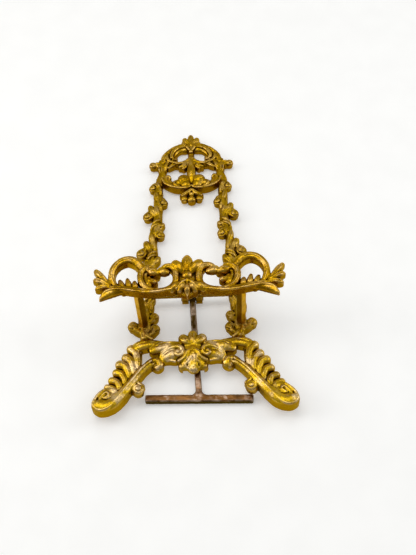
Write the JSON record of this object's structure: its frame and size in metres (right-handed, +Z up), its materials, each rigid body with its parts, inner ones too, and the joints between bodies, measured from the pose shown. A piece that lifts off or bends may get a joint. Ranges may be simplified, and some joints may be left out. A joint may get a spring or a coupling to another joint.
{
  "type": "photo album stand",
  "caption": "Small ornate cast-brass folding easel with a scrolled frame, a raised ledge on two square arms and a hinged T-shaped back leg.",
  "frame": {"origin": "middle of the footprint, on the surface that the stand lies on", "axes": "the stand lies on its back: +X runs across it, +Y from the toes to the finial, +Z up out of its front"},
  "size_m": [0.095, 0.178, 0.0402],
  "materials": {
    "crest_brass": "cast and chased, aged, dark in the hollows",
    "rail_brass": "cast and chased, aged, dark in the hollows",
    "foot_brass": "cast and chased, rubbed bright on the high parts",
    "ledge_brass": "cast and chased, aged, rubbed bright on the rims",
    "arm_brass": "filed square, brown patina on the inner faces",
    "leg_brass": "copper-brown patina, worn on the edges",
    "pin_steel": "dull, tarnished"
  },
  "bodies": {
    "frame": {"crest": "crest_brass", "left_rail": "rail_brass", "right_rail": "rail_brass", "crossbar": "rail_brass", "foot_casting": "foot_brass", "ledge": "ledge_brass", "left_arm": "arm_brass", "right_arm": "arm_brass", "hinge_pin": "pin_steel", "crest_screws": "pin_steel", "foot_screws": "pin_steel", "arm_screws": "pin_steel"},
    "leg": {"back_leg": "leg_brass"}
  },
  "joints": [
    {"name": "leg_hinge", "type": "hinge", "parent": "frame", "child": "leg", "pos_m": [0, -0.02475, 0.00289], "axis": [1, 0, 0], "range_deg": [0, 50]}
  ]
}
